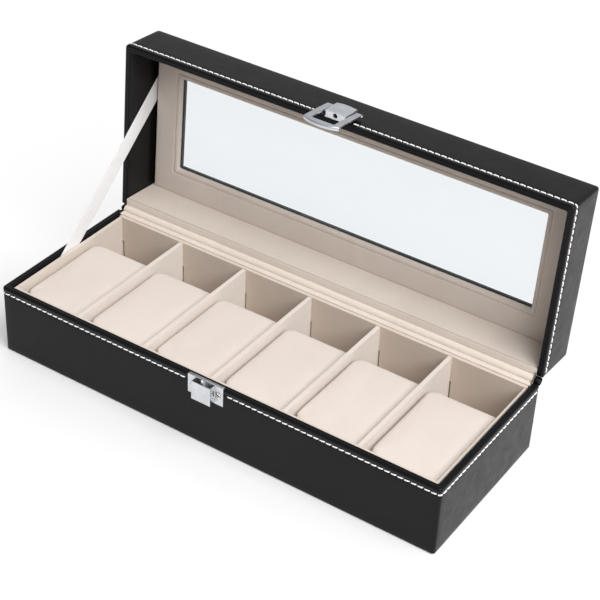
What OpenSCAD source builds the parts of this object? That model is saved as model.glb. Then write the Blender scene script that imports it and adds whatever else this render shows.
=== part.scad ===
// Hinged watch box: wooden boards wrapped in black leather, a lid with a
// clear window, a soft fabric hinge with a stay ribbon, a lined tray with
// compartments, a removable padded cushion in each, and a metal hasp catch.
// Millimetres, +Z up. The origin is the centre of the underside. The lid is
// drawn in its closed place and swung open about the hinge line.

/* [Box] */
// Outside length of the box, along X
box_w = 300; // [300:1:320]
// Outside depth of the box, along Y
box_d = 110; // [108:1:116]
// Height of the base, underside to rim
base_h = 45.8; // [44.5:0.1:46]
// Height of the closed box, underside to the top of the lid
total_h = 78; // [75:0.5:80]
// Angle the lid stands open
lid_open = 93.8; // [88:0.1:94]
// Distance of the hinge line behind the rear face
hinge_out = 1.5; // [1.4:0.1:1.8]

/* [Walls] */
// Leather thickness on the outside
leather_t = 0.8; // [0.6:0.1:0.9]
// Thickness of a covered wall
wall_t = 4; // [3.8:0.1:4.2]
// Leather thickness where it turns in behind the rim
turn_t = 0.5; // [0.3:0.1:0.6]
// Rounding of the upright corners
corner_r = 2; // [1.5:0.1:2.2]
// Bottom board thickness
floor_t = 3; // [2.5:0.1:3.2]

/* [Tray] */
// Number of compartments along the tray
cells = 6; // [4:1:8]
// Lining card thickness, padding and fabric included
lining_t = 2; // [1.6:0.1:2.2]
// Height of the lining and dividers above the underside
lining_top = 44; // [40:0.5:44.5]
// Divider thickness
divider_t = 2.6; // [2.4:0.1:3.6]

/* [Cushions] */
// Room left at each side of a cushion
cushion_gap = 0.6; // [0.4:0.1:2]
// Cushion size front to back
cushion_d = 70.8; // [55:0.1:72]
// Height of the cushion's top above the underside
cushion_top = 40.5; // [38:0.5:45]
// Rounding of the cushion's edges
cushion_r = 4.5; // [3:0.5:9]
// Cushion cover thickness
cover_t = 1.6; // [1:0.1:2.2]

/* [Window] */
// Window opening in the lid lining, along X
window_w = 252; // [200:1:252]
// Window opening in the lid lining, along Y
window_d = 62.8; // [40:0.2:63]
// How far the window sits to the right of the lid's middle
window_dx = 0; // [-2:0.1:2]
// How far the window sits behind the middle of the closed lid
window_dy = 0; // [-2:0.1:2]
// How far the leather frame's opening is smaller on each side
window_step = 1.2; // [0.8:0.1:1.6]
// Pane thickness
pane_t = 0.95; // [0.8:0.05:1]

/* [Trim] */
// Stitch spacing
stitch_pitch = 4; // [3.4:0.1:5]
// Distance of the stitch line from the rim of the base
stitch_drop = 3.4; // [3:0.1:6]
// Ribbon width
ribbon_w = 11.5; // [8:0.5:14]
// Ribbon thickness
ribbon_t = 0.3; // [0.2:0.05:0.4]

/* [Catch] */
// Width of the hasp
hasp_w = 23.5; // [22:0.5:26]
// Thickness of the hasp
hasp_t = 1.1; // [0.9:0.1:1.2]
// Angle the hasp is lifted off its locked place
hasp_lift = 4.2; // [4.2:0.1:8]
// Width of the keeper plate on the base
keeper_w = 24.2; // [24:0.2:28]

/* [Hidden] */
$fn = 48;

hw = box_w / 2;                 // half length
hd = box_d / 2;                 // half depth
lx = hw - leather_t;            // inside of the outer leather, X
ly = hd - leather_t;            // inside of the outer leather, Y
ix = hw - wall_t;               // inside of a covered wall, X
iy = hd - wall_t;               // inside of a covered wall, Y
sheet_t = 0.8;
wall_z = sheet_t + floor_t;     // top of the bottom board
hinge_y = hd + hinge_out;
hinge_z = 46;
lid_z = 46.2;                   // rim of the closed lid
cord_r = 1.9;
strip_r = 2.0;                  // inside of the hinge strips
strip_R = 2.6;                  // outside of the hinge strips
hinge_cut = 2.65;               // room cut for the strips
panel_z = total_h - 6.4;        // inner face of the lid lining
frame_z = total_h - 3.4;        // underside of the lid's top frame
cell_x = ix - 0.9 - 2.1;        // inner faces of the side linings
lining_out_x = ix - 0.9;
lining_in_y = iy - turn_t - lining_t; // inner faces of the front and rear lining
floor_z = wall_z + 1.2;         // top of the floor lining
cell_w = (2 * cell_x - (cells - 1) * divider_t) / cells;
cell_p = cell_w + divider_t;
tab = 1.1;                      // how far a divider's tab stands in the rear lining
tab_z = 27;                     // top of the tabs
slot_room = 0.9;                // room beside a tab
hasp_z = 56.6;                  // hasp pin, closed place
hasp_y = -hd - 2.15;
hasp_pin_r = 1.4;
keeper_z = 33.6;
block_y = -hd - 3.7;            // front of the keeper block
block_hw = 6.5;
block_top = 46.2;
block_z = 33.6;
screw_z = 40;
screw_x = 8.9;                  // keeper screws

// ---- helpers ----
module rect_r(w, d, r) {
  square([w - 2 * r, d], center = true);
  square([w, d - 2 * r], center = true);
  for (x = [-1, 1], y = [-1, 1]) translate([x * (w / 2 - r), y * (d / 2 - r)]) circle(r = r);
}
module box(x0, x1, y0, y1, z0, z1) translate([x0, y0, z0]) cube([x1 - x0, y1 - y0, z1 - z0]);
module rod_x(r, l, y, z) translate([-l / 2, y, z]) rotate([0, 90, 0]) cylinder(r = r, h = l);
module rod_y(r, x, z, y0, y1) translate([x, y0, z]) rotate([-90, 0, 0]) cylinder(r = r, h = y1 - y0);
module opened() translate([0, hinge_y, hinge_z]) rotate([-lid_open, 0, 0]) translate([0, -hinge_y, -hinge_z]) children();
module hinge_room(r) rod_x(r, box_w + 2, hinge_y, hinge_z);
// profile of a part ring about the hinge line, from angle a0 to a1 seen from +X, 0 at +Y
module hinge_arc(r0, r1, a0, a1) {
  n = ceil((a1 - a0) / 30);
  intersection() {
    difference() { circle(r = r1); circle(r = r0); }
    polygon(concat([[0, 0]], [for (i = [0:n]) let (a = a0 + (a1 - a0) * i / n) 6 * [cos(a), sin(a)]]));
  }
}
// draws a profile round the hinge line out along X
module hinge_run(l) translate([-l / 2, hinge_y, hinge_z]) rotate([90, 0, 90]) linear_extrude(l) children();
module soft_block(x0, x1, y0, y1, z0, z1, r) hull()
  for (x = [x0 + r, x1 - r], y = [y0 + r, y1 - r], z = [z0 + r, z1 - r]) translate([x, y, z]) sphere(r = r, $fn = 16);
// row of thread dashes along X, centred, standing out of the plane y = face
module stitches_x(face, side, z, n, skip) for (i = [0:n - 1]) let (x = (i - (n - 1) / 2) * stitch_pitch)
  if (abs(x) > skip) translate([x, face + side * 0.25, z]) rotate([0, 4, 0]) cube([3.3, 0.5, 0.7], center = true);
// row of thread dashes along Y, standing out of the plane x = face
module stitches_y(face, side, z, n) for (i = [0:n - 1]) let (y = (i - (n - 1) / 2) * stitch_pitch)
  translate([face + side * 0.25, y, z]) rotate([4 * side, 0, 0]) cube([0.5, 3.3, 0.7], center = true);

// ---- base ----
module underside_sheet() color("#1b1b1c") box(-lx + 0.2, lx - 0.2, -ly + 0.2, ly - 0.2, 0, sheet_t);
module base_bottom_board() color("#b99a72") box(-lx, lx, -ly, ly, sheet_t, wall_z);
module base_front_board() color("#b99a72") difference() {
  box(-lx, lx, -ly, -iy - turn_t, wall_z, base_h - leather_t);
  for (s = [-1, 1]) rod_y(0.95, s * screw_x, screw_z, -ly - 1, -iy + 1);
}
module base_rear_board() color("#b99a72") difference() {
  box(-lx, lx, iy - turn_t, ly, wall_z, base_h - leather_t);
  hinge_room(hinge_cut);
}
module base_side_board(s) color("#b99a72") scale([s, 1, 1]) box(ix + turn_t, lx, -iy - turn_t, iy - turn_t, wall_z, base_h - leather_t);
module base_left_board() mirror([1, 0, 0]) base_side_board(1);
module base_right_board() base_side_board(1);
module base_leather() color("#26262a") difference() {
  translate([0, 0, 0.2]) linear_extrude(base_h - 0.2) rect_r(box_w, box_d, corner_r);
  // board room, less the leather turned in behind the rim
  difference() {
    box(-lx, lx, -ly, ly, -1, base_h - leather_t);
    difference() {
      box(-ix - turn_t, ix + turn_t, -iy - turn_t, iy - turn_t, base_h - 12, base_h);
      box(-ix, ix, -iy, iy, 0, base_h + 1);
    }
  }
  // the tray's mouth: the rear rim is left for the hinge fabric
  box(-ix, ix, -iy, ly, 0, base_h + 1);
  box(-lx, lx, iy - turn_t, ly, 0, base_h + 1);
  hinge_room(hinge_cut);
  for (s = [-1, 1]) rod_y(0.95, s * screw_x, screw_z, -hd - 1, -iy + 1);
}
module base_stitching() color("#f2f0ea") {
  stitches_x(-hd, -1, base_h - stitch_drop, floor((box_w - 6) / stitch_pitch), keeper_w / 2 + 2.4);
  for (s = [-1, 1]) stitches_y(s * hw, s, base_h - stitch_drop, floor((box_d - 6) / stitch_pitch));
}
module lining_floor() color("#d9cabb") box(-cell_x, cell_x, -lining_in_y, lining_in_y, wall_z, floor_z);
module lining_front() color("#e6dacd") box(-lining_out_x, lining_out_x, -iy, -lining_in_y, wall_z, lining_top);
// its lower half is slotted for the tabs of the dividers and side linings
module lining_rear() color("#e6dacd") difference() {
  box(-lining_out_x, lining_out_x, lining_in_y, iy - turn_t, wall_z, lining_top + 0.5);
  for (k = [1:cells - 1]) let (x = -cell_x + k * cell_p - divider_t / 2)
    box(x - divider_t / 2 - 0.1, x + divider_t / 2 + slot_room, lining_in_y - 1, iy, wall_z - 1, tab_z + 0.2);
  for (s = [0, 1]) mirror([s, 0, 0])
    box(cell_x - slot_room - 0.4, lining_out_x + 1, lining_in_y - 1, iy, wall_z - 1, tab_z + 0.2);
}
module lining_side() {
  box(cell_x, lining_out_x, -lining_in_y, lining_in_y + tab, wall_z, tab_z);
  box(cell_x, lining_out_x, -lining_in_y, lining_in_y, tab_z, lining_top);
}
module lining_left() color("#e6dacd") mirror([1, 0, 0]) lining_side();
module lining_right() color("#e6dacd") lining_side();
module divider(k) color("#e9ddd1") translate([-cell_x + k * cell_p - divider_t / 2, 0, 0]) {
  box(-divider_t / 2, divider_t / 2, -lining_in_y, lining_in_y + tab, floor_z, tab_z);
  box(-divider_t / 2, divider_t / 2, -lining_in_y, lining_in_y, tab_z, lining_top);
}
module divider_1() divider(1);
module divider_2() divider(2);
module divider_3() divider(3);
module divider_4() divider(4);
module divider_5() divider(5);

// ---- hinge ----
module hinge_cord() color("#1d1d1f") rod_x(cord_r, box_w - 1, hinge_y, hinge_z);
module hinge_leather_strip() color("#232326") hinge_run(box_w - 1) hinge_arc(strip_r, strip_R, -134, 42);
module hinge_fabric_strip() color("#d8c9ba") hinge_run(2 * ix - 1) {
  hinge_arc(strip_r, strip_R, 68, 198);
  // flap on the rear rim of the base, then the one on the open lid
  flap = [iy - turn_t - hinge_y, iy + 3.3 - hinge_y];
  translate([flap[0], base_h - leather_t - hinge_z]) square([flap[1] - flap[0], leather_t - 0.2]);
  rotate(-lid_open) translate([flap[0], lid_z + 0.2 - hinge_z]) square([flap[1] - flap[0], leather_t - 0.2]);
}
// flat strip in the plane of the left wall, from a pocket behind the tray
// lining to a pocket behind the lid lining
rib_a = [-6.5, 37];             // start in the tray's pocket, Y and Z
rib_slope = 40.5;               // rise of the taut ribbon
module stay_ribbon() color("#f4f4f4") intersection() {
  translate([-ix + 0.3, rib_a[0], rib_a[1]]) rotate([rib_slope, 0, 0])
    translate([0, 0, -ribbon_w / 2]) cube([ribbon_t, 140, ribbon_w]);
  opened() box(-hw, hw, -300, 300, -300, frame_z - 0.1);
}

// ---- keeper on the base ----
module keeper_plate() color("#c9cbd0") difference() {
  union() {
    box(-keeper_w / 2, keeper_w / 2, -hd - 0.5, -hd, keeper_z, base_h + 0.3);
    box(-keeper_w / 2, keeper_w / 2, -hd - 0.5, -hd + 1.6, base_h, base_h + 0.3);
  }
  for (s = [-1, 1]) {
    rod_y(0.95, s * screw_x, screw_z, -hd - 2, -hd + 1);
    box(s * 7.3 - 0.3, s * 7.3 + 0.3, -hd - 2, -hd + 1, 38, 42);
  }
}
module keeper_block() color("#cfd1d6") difference() {
  box(-block_hw, block_hw, block_y, -hd - 0.5, block_z, block_top);
  box(-block_hw + 0.6, block_hw - 0.6, block_y + 0.5, -hd, block_z + 0.6, block_top + 1);
}
module keeper_screws() color("#b9bbc0") for (s = [-1, 1]) {
  rod_y(0.9, s * screw_x, screw_z, -hd - 0.5, -iy - turn_t + 0.2);
  difference() {
    rod_y(1.4, s * screw_x, screw_z, -hd - 1, -hd - 0.5);
    rod_y(0.65, s * screw_x, screw_z, -hd - 2, -hd - 0.7);
  }
}
module catch_spring() color("#e4e6ea") {
  box(-1.6, 1.6, -hd - 2.4, -hd - 2.0, block_z + 0.9, block_top + 0.5);
  box(-1.6, 1.6, -hd - 2.0, -hd - 0.7, block_z + 0.9, block_z + 1.5);
}

// ---- cushions ----
module cushion_outer(k, e, g) {
  x0 = -cell_x + (k - 1) * cell_p + cushion_gap;
  x1 = x0 + cell_w - 2 * cushion_gap;
  y0 = -lining_in_y + 0.3;
  soft_block(x0 + e, x1 - e, y0 + e, y0 + cushion_d - e, floor_z + 0.3 + e, cushion_top - e, g);
}
module cushion_cover(k) color("#efe4da") difference() {
  cushion_outer(k, 0, cushion_r);
  cushion_outer(k, cover_t, cushion_r - 1);
}
module cushion_core(k) color("#f5f2ea") cushion_outer(k, cover_t + 0.1, cushion_r - 1);
module cushion_1_cover() cushion_cover(1);
module cushion_1_core() cushion_core(1);
module cushion_2_cover() cushion_cover(2);
module cushion_2_core() cushion_core(2);
module cushion_3_cover() cushion_cover(3);
module cushion_3_core() cushion_core(3);
module cushion_4_cover() cushion_cover(4);
module cushion_4_core() cushion_core(4);
module cushion_5_cover() cushion_cover(5);
module cushion_5_core() cushion_core(5);
module cushion_6_cover() cushion_cover(6);
module cushion_6_core() cushion_core(6);

// ---- lid ----
wx = window_w / 2 - window_step; // opening in the leather frame, X
wy = window_d / 2 - window_step; // opening in the leather frame, Y
px = window_w / 2 + 2;           // pane half length
py = window_d / 2 + 2;           // pane half depth
// block centred on the window, of half sizes x and y
module window_box(x, y, z0, z1) translate([window_dx, window_dy, 0]) box(-x, x, -y, y, z0, z1);
module lid_top_frame() color("#b99a72") opened() difference() {
  box(-lx, lx, -ly, ly, frame_z, total_h - leather_t);
  window_box(wx + turn_t, wy + turn_t, frame_z - 1, total_h);
  window_box(px + 0.2, py + 0.2, frame_z - 1, frame_z + pane_t + 0.1);
}
module lid_front_board() color("#b99a72") opened() difference() {
  box(-lx, lx, -ly, -iy - turn_t, lid_z + leather_t, frame_z);
  for (s = [-1, 1]) rod_y(0.85, s * 4, 53, -ly - 1, -iy + 1);
}
module lid_rear_board() color("#b99a72") opened() difference() {
  box(-lx, lx, iy - turn_t, ly, lid_z + leather_t, frame_z);
  hinge_room(hinge_cut);
}
module lid_side_board() opened() box(ix + turn_t, lx, -iy - turn_t, iy - turn_t, lid_z + leather_t, frame_z);
module lid_left_board() color("#b99a72") mirror([1, 0, 0]) lid_side_board();
module lid_right_board() color("#b99a72") lid_side_board();
module lid_leather() color("#26262a") opened() difference() {
  translate([0, 0, lid_z]) linear_extrude(total_h - lid_z) rect_r(box_w, box_d, corner_r);
  // board room: walls below the top frame, then the top frame itself
  difference() {
    box(-lx, lx, -ly, ly, lid_z + leather_t, frame_z);
    // leather turned in behind the rim on the front and the sides
    difference() {
      box(-ix - turn_t, ix + turn_t, -iy - turn_t, iy - turn_t, lid_z, panel_z);
      box(-ix, ix, -iy, iy, lid_z - 1, panel_z + 1);
    }
  }
  difference() {
    box(-lx, lx, -ly, ly, frame_z - 0.01, total_h - leather_t);
    difference() {
      window_box(wx + turn_t, wy + turn_t, frame_z + pane_t + 0.1, total_h);
      window_box(wx, wy, frame_z - 1, total_h + 1);
    }
  }
  window_box(wx, wy, frame_z - 1, total_h + 1);
  box(-ix, ix, -iy, ly, lid_z - 1, frame_z);
  box(-lx, lx, iy - turn_t, ly, lid_z - 1, frame_z);
  hinge_room(hinge_cut);
  for (s = [-1, 1]) rod_y(0.85, s * 4, 53, -hd - 1, -iy + 1);
}
module lid_stitching() color("#f2f0ea") opened() {
  stitches_x(-hd, -1, lid_z + stitch_drop + 0.4, floor((box_w - 6) / stitch_pitch), 8.8);
  for (s = [-1, 1]) stitches_y(s * hw, s, lid_z + stitch_drop + 0.4, floor((box_d - 6) / stitch_pitch));
}
module window_pane() color("#dfeaf0", 0.35) opened() window_box(px, py, frame_z, frame_z + pane_t);
module lid_lining_panel() color("#cdbfb2") opened() difference() {
  box(-ix + 2.5, ix - 2.5, -iy + 0.6, iy - 2, panel_z, frame_z);
  window_box(window_w / 2, window_d / 2, panel_z - 1, frame_z + 1);
}
module lid_rear_lining() color("#dccfc2") opened() box(-ix + 0.5, ix - 0.5, iy - 1.9, iy - turn_t, 47.15, frame_z);

// ---- hasp on the lid ----
leaf_R = 40;                    // dome of the cover leaf
module hasp_bracket() color("#c4c7cc") opened() difference() {
  union() {
    // leaf on the wall, tongue below it, domed cover leaf and folded knuckle
    box(-6.9, 6.9, -hd - 0.7, -hd, 46.8, hasp_z);
    box(-5.2, 5.2, -hd - 1.3, -hd - 0.7, 40.6, 50.5);
    translate([0, hasp_y - 2.75 + leaf_R, 46.5]) linear_extrude(12.3) intersection() {
      difference() { circle(r = leaf_R, $fn = 180); circle(r = leaf_R - 0.7, $fn = 180); }
      translate([-6.9, -leaf_R - 1]) square([13.8, 6]);
    }
    intersection() {
      difference() { rod_x(2.15, 13.8, hasp_y, hasp_z); rod_x(1.45, 20, hasp_y, hasp_z); }
      box(-7, 7, hasp_y - 4, hasp_y + 4, hasp_z, hasp_z + 4);
    }
  }
  rod_y(1.5, 0, 45.8, -hd - 1.4, -hd + 1);
  for (s = [-1, 1]) rod_y(0.85, s * 4, 53, -hd - 1, -hd + 1);
}
module hasp_pin() color("#b8bbc1") opened() rod_x(hasp_pin_r, hasp_w + 0.8, hasp_y, hasp_z);
module hasp_screws() color("#b9bbc0") opened() for (s = [-1, 1]) {
  rod_y(0.8, s * 4, 53, -hd - 0.7, -iy - turn_t + 0.2);
  rod_y(1.4, s * 4, 53, -hd - 1.15, -hd - 0.7);
}
module hasp() color("#cfd2d7") opened() translate([0, hasp_y, hasp_z]) rotate([-hasp_lift, 0, 0]) difference() {
  union() {
    // flat frame with a bowed front edge, open towards the pin
    translate([0, -0.15, 0]) rotate([90, 0, 0]) linear_extrude(hasp_t) difference() {
      intersection() {
        translate([-hasp_w / 2, -29]) square([hasp_w, 29]);
        translate([0, -3.8]) circle(r = 24, $fn = 96);
      }
      translate([-7.2, -23.6]) square([14.4, 32]);
    }
    // eyes round the pin
    for (s = [-1, 1]) translate([s * (hasp_w / 4 + 3.6), 0, 0]) rotate([0, 90, 0]) cylinder(r = 2, h = hasp_w / 2 - 7.2, center = true);
  }
  rod_x(hasp_pin_r + 0.05, hasp_w + 2, 0, 0);
}

underside_sheet();
base_bottom_board();
base_front_board();
base_rear_board();
base_left_board();
base_right_board();
base_leather();
base_stitching();
lining_floor();
lining_front();
lining_rear();
lining_left();
lining_right();
divider_1();
divider_2();
divider_3();
divider_4();
divider_5();
hinge_cord();
hinge_leather_strip();
hinge_fabric_strip();
stay_ribbon();
keeper_plate();
keeper_block();
keeper_screws();
catch_spring();
cushion_1_cover();
cushion_1_core();
cushion_2_cover();
cushion_2_core();
cushion_3_cover();
cushion_3_core();
cushion_4_cover();
cushion_4_core();
cushion_5_cover();
cushion_5_core();
cushion_6_cover();
cushion_6_core();
lid_top_frame();
lid_front_board();
lid_rear_board();
lid_left_board();
lid_right_board();
lid_leather();
lid_stitching();
window_pane();
lid_lining_panel();
lid_rear_lining();
hasp_bracket();
hasp_pin();
hasp_screws();
hasp();
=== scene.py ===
import math

import bmesh
import bpy
import numpy as np
from mathutils import Matrix, Vector, noise


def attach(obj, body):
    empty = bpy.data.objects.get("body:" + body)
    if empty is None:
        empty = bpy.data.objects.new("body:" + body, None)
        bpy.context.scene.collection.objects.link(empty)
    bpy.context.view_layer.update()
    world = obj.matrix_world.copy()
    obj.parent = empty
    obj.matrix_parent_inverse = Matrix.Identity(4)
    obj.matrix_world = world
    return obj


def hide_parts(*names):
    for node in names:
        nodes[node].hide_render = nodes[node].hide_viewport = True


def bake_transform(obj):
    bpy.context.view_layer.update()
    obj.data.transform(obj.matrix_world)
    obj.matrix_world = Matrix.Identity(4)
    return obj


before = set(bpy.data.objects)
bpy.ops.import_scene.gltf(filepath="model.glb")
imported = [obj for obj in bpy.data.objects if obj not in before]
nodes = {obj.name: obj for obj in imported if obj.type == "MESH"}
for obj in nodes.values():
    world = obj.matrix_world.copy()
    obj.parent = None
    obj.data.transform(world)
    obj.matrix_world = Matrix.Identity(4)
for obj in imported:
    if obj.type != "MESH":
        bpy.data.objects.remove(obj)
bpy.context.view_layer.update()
scene = bpy.context.scene

MM = 0.001
HINGE_Y, HINGE_Z, LID_OPEN = 56.5, 46.0, 93.8
HASP_Y, HASP_Z, HASP_LIFT = -57.15, 56.6, 4.2


def about_x(y, z, degrees):
    there = Matrix.Translation((0, y * MM, z * MM))
    return there @ Matrix.Rotation(math.radians(degrees), 4, "X") @ there.inverted()


OPEN = about_x(HINGE_Y, HINGE_Z, -LID_OPEN)
LIFT = OPEN @ about_x(HASP_Y, HASP_Z, -HASP_LIFT)


def wave(x, y, z, size):
    """Smooth noise from -1 to 1 with features of about that size in mm."""
    return noise.noise(Vector((x / size + 3.1, y / size + 7.7, z / size + 1.3)))


# ---------------------------------------------------------------- camera
eye, target, roll = Vector((0.4242, -0.6337, 0.6125)), Vector((0.0238, 0.0, 0.0799)), math.radians(2.92)
cam_data = bpy.data.cameras.new("camera")
cam_data.sensor_width, cam_data.lens = 36.0, 99.23
cam_data.clip_start, cam_data.clip_end = 0.01, 50.0
cam = bpy.data.objects.new("camera", cam_data)
scene.collection.objects.link(cam)
ahead = (target - eye).normalized()
right = ahead.cross(Vector((0, 0, 1))).normalized()
up = right.cross(ahead)
right, up = math.cos(roll) * right + math.sin(roll) * up, -math.sin(roll) * right + math.cos(roll) * up
cam.matrix_world = Matrix((
    (right.x, up.x, -ahead.x, eye.x),
    (right.y, up.y, -ahead.y, eye.y),
    (right.z, up.z, -ahead.z, eye.z),
    (0, 0, 0, 1)))
scene.camera = cam


# ---------------------------------------------------------------- materials
class Mat:
    """A material with a Principled shader and short calls for its nodes."""

    def __init__(self, name):
        self.m = bpy.data.materials.new(name)
        self.m.use_nodes = True
        self.nt = self.m.node_tree
        self.nt.nodes.clear()
        self.out = self.add("OutputMaterial")
        self.b = self.add("BsdfPrincipled")
        self.link(self.b.outputs[0], self.out.inputs["Surface"])
        self.coord = self.add("TexCoord").outputs["Object"]

    def add(self, kind):
        return self.nt.nodes.new("ShaderNode" + kind)

    def link(self, a, b):
        self.nt.links.new(a, b)

    def set(self, **values):
        for name, value in values.items():
            self.b.inputs[name.replace("_", " ")].default_value = value

    def stretched(self, scale, turn=(0, 0, 0)):
        n = self.add("Mapping")
        n.inputs["Scale"].default_value = scale
        n.inputs["Rotation"].default_value = [math.radians(a) for a in turn]
        self.link(self.coord, n.inputs["Vector"])
        return n.outputs[0]

    def noise(self, scale, detail=3.0, rough=0.55, vector=None, distortion=0.0):
        n = self.add("TexNoise")
        n.inputs["Scale"].default_value = scale
        n.inputs["Detail"].default_value = detail
        n.inputs["Roughness"].default_value = rough
        n.inputs["Distortion"].default_value = distortion
        self.link(vector or self.coord, n.inputs["Vector"])
        return n.outputs["Fac"]

    def voronoi(self, scale, feature="F1", random=1.0, vector=None):
        n = self.add("TexVoronoi")
        n.feature = feature
        n.inputs["Scale"].default_value = scale
        n.inputs["Randomness"].default_value = random
        self.link(vector or self.coord, n.inputs["Vector"])
        return n.outputs["Distance"]

    def waves(self, scale, direction, distortion=0.0, vector=None):
        n = self.add("TexWave")
        n.bands_direction = direction
        n.inputs["Scale"].default_value = scale
        n.inputs["Distortion"].default_value = distortion
        self.link(vector or self.coord, n.inputs["Vector"])
        return n.outputs["Fac"]

    def ramp(self, fac, *stops):
        n = self.add("ValToRGB")
        e = n.color_ramp.elements
        while len(e) < len(stops):
            e.new(0.5)
        for i, (at, colour) in enumerate(stops):
            e[i].position = at
            e[i].color = (*colour, 1.0)
        self.link(fac, n.inputs["Fac"])
        return n.outputs["Color"]

    def span(self, fac, low, high, a=0.3, b=0.7):
        n = self.add("MapRange")
        for key, value in (("From Min", a), ("From Max", b), ("To Min", low), ("To Max", high)):
            n.inputs[key].default_value = value
        self.link(fac, n.inputs["Value"])
        return n.outputs["Result"]

    def math(self, op, a, b):
        n = self.add("Math")
        n.operation = op
        for i, v in enumerate((a, b)):
            if isinstance(v, (int, float)):
                n.inputs[i].default_value = v
            else:
                self.link(v, n.inputs[i])
        return n.outputs[0]

    def bump(self, *layers):
        """Each layer is (height, strength, distance in mm)."""
        last = None
        for height, strength, distance in layers:
            n = self.add("Bump")
            n.inputs["Strength"].default_value = strength
            n.inputs["Distance"].default_value = distance * MM
            self.link(height, n.inputs["Height"])
            if last is not None:
                self.link(last, n.inputs["Normal"])
            last = n.outputs["Normal"]
        self.link(last, self.b.inputs["Normal"])

    def colour(self, socket):
        self.link(socket, self.b.inputs["Base Color"])

    def roughness(self, socket):
        self.link(socket, self.b.inputs["Roughness"])


def leather(name, dark, light, rough):
    m = Mat(name)
    cells = m.voronoi(1500, random=0.95)
    folds = m.noise(520, 4, 0.6, distortion=0.6)
    broad = m.noise(24, 3)
    m.colour(m.ramp(broad, (0.3, dark), (0.7, light)))
    m.roughness(m.span(m.noise(170, 4), rough - 0.05, rough + 0.07))
    m.set(Specular_IOR_Level=0.165, Specular_Tint=(0.94, 0.94, 1.0, 1.0))
    m.bump((cells, 0.30, 0.10), (folds, 0.22, 0.10), (broad, 0.05, 0.4))
    return m.m


def velvet(name, low, high, sheen, nap=1.0):
    m = Mat(name)
    fibres = m.noise(2600, 2, 0.7)
    tufts = m.noise(640, 4, 0.65)
    brushed = m.noise(30, 5, 0.6, vector=m.stretched((1.0, 0.55, 0.8), (0, 0, 24)), distortion=0.8)
    speck = m.math("ADD", m.math("MULTIPLY", brushed, 0.62), m.math("MULTIPLY", tufts, 0.38))
    m.colour(m.ramp(speck, (0.3, low), (0.68, high)))
    m.roughness(m.span(tufts, 0.86, 1.0))
    m.set(Sheen_Weight=sheen, Sheen_Roughness=0.45, Specular_IOR_Level=0.1)
    m.b.inputs["Sheen Tint"].default_value = (1.0, 0.94, 0.88, 1.0)
    m.bump((fibres, 0.32 * nap, 0.22), (tufts, 0.25 * nap, 0.30), (brushed, 0.10 * nap, 0.8))
    return m.m


def metal(name, low, high, r0, r1, grain=(1.0, 14.0, 14.0)):
    m = Mat(name)
    lines = m.noise(260, 5, 0.7, vector=m.stretched(grain))
    cloud = m.noise(130, 3)
    m.colour(m.ramp(cloud, (0.3, low), (0.7, high)))
    m.roughness(m.span(m.math("ADD", m.math("MULTIPLY", lines, 0.6), m.math("MULTIPLY", cloud, 0.4)), r0, r1))
    m.set(Metallic=1.0)
    m.bump((lines, 0.10, 0.03), (cloud, 0.05, 0.1))
    return m.m


LEATHER = leather("leather_black", (0.0036, 0.0036, 0.0040), (0.0050, 0.0050, 0.0056), 0.32)
SPINE = leather("leather_spine", (0.0040, 0.0040, 0.0044), (0.0060, 0.0060, 0.0066), 0.40)
LINING = velvet("lining_beige", (0.562, 0.490, 0.430), (0.622, 0.550, 0.492), 0.16)
# a warmer copy of the lining for the rear walls: painted shade, the browner tone that the shade deep in the cells takes
# on
LINING_REAR_PAINTED_SHADE = velvet("lining_rear_beige_painted_shade", (0.562, 0.474, 0.398), (0.622, 0.534, 0.458), 0.14)
# a darker tan for the tray floor: painted shade, it deepens the shade low in the cells
TRAY_FLOOR_PAINTED_SHADE = velvet("tray_floor_tan_painted_shade", (0.400, 0.312, 0.234), (0.460, 0.368, 0.284), 0.12)
# a lighter copy of the lining for the dividers: painted light, as the key light brightens their sides
DIVIDER_PAINTED_LIGHT = velvet("divider_beige_painted_light", (0.604, 0.538, 0.486), (0.660, 0.596, 0.544), 0.16)
# a darker copy of the lining for the lid's panel: painted shade, the panel stands in the lid's shade
PANEL_PAINTED_SHADE = velvet("lining_panel_beige_painted_shade", (0.520, 0.452, 0.400), (0.580, 0.512, 0.460), 0.14, 0.8)
# a lighter copy of the lining for the hinge cloth: painted light, as light from the front brightens its rounded lip
HINGE_CLOTH_PAINTED_LIGHT = velvet("hinge_fabric_beige_painted_light", (0.640, 0.560, 0.495), (0.700, 0.625, 0.560), 0.14)
CUSHION = velvet("cushion_velvet", (0.602, 0.530, 0.480), (0.652, 0.584, 0.534), 0.18)
METAL = metal("metal_satin", (0.56, 0.59, 0.63), (0.68, 0.71, 0.75), 0.26, 0.40)
SATIN = metal("metal_brushed", (0.62, 0.65, 0.69), (0.74, 0.77, 0.81), 0.42, 0.56)
CHROME = metal("metal_polished", (0.63, 0.64, 0.66), (0.73, 0.74, 0.76), 0.16, 0.28)
BRIGHT = metal("metal_frosted", (0.80, 0.81, 0.83), (0.88, 0.89, 0.91), 0.58, 0.72)
SCREW = metal("metal_screw", (0.54, 0.50, 0.45), (0.72, 0.68, 0.62), 0.26, 0.42, (6.0, 6.0, 6.0))


def thread_material():
    m = Mat("thread_white")
    ply = m.waves(1500, "DIAGONAL", 1.5)
    fuzz = m.noise(2400, 3)
    m.colour(m.ramp(ply, (0.0, (0.78, 0.775, 0.765)), (0.6, (0.92, 0.918, 0.91))))
    m.roughness(m.span(fuzz, 0.62, 0.82))
    m.set(Sheen_Weight=0.15, Specular_IOR_Level=0.3)
    m.bump((ply, 0.4, 0.06), (fuzz, 0.2, 0.05))
    return m.m


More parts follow.
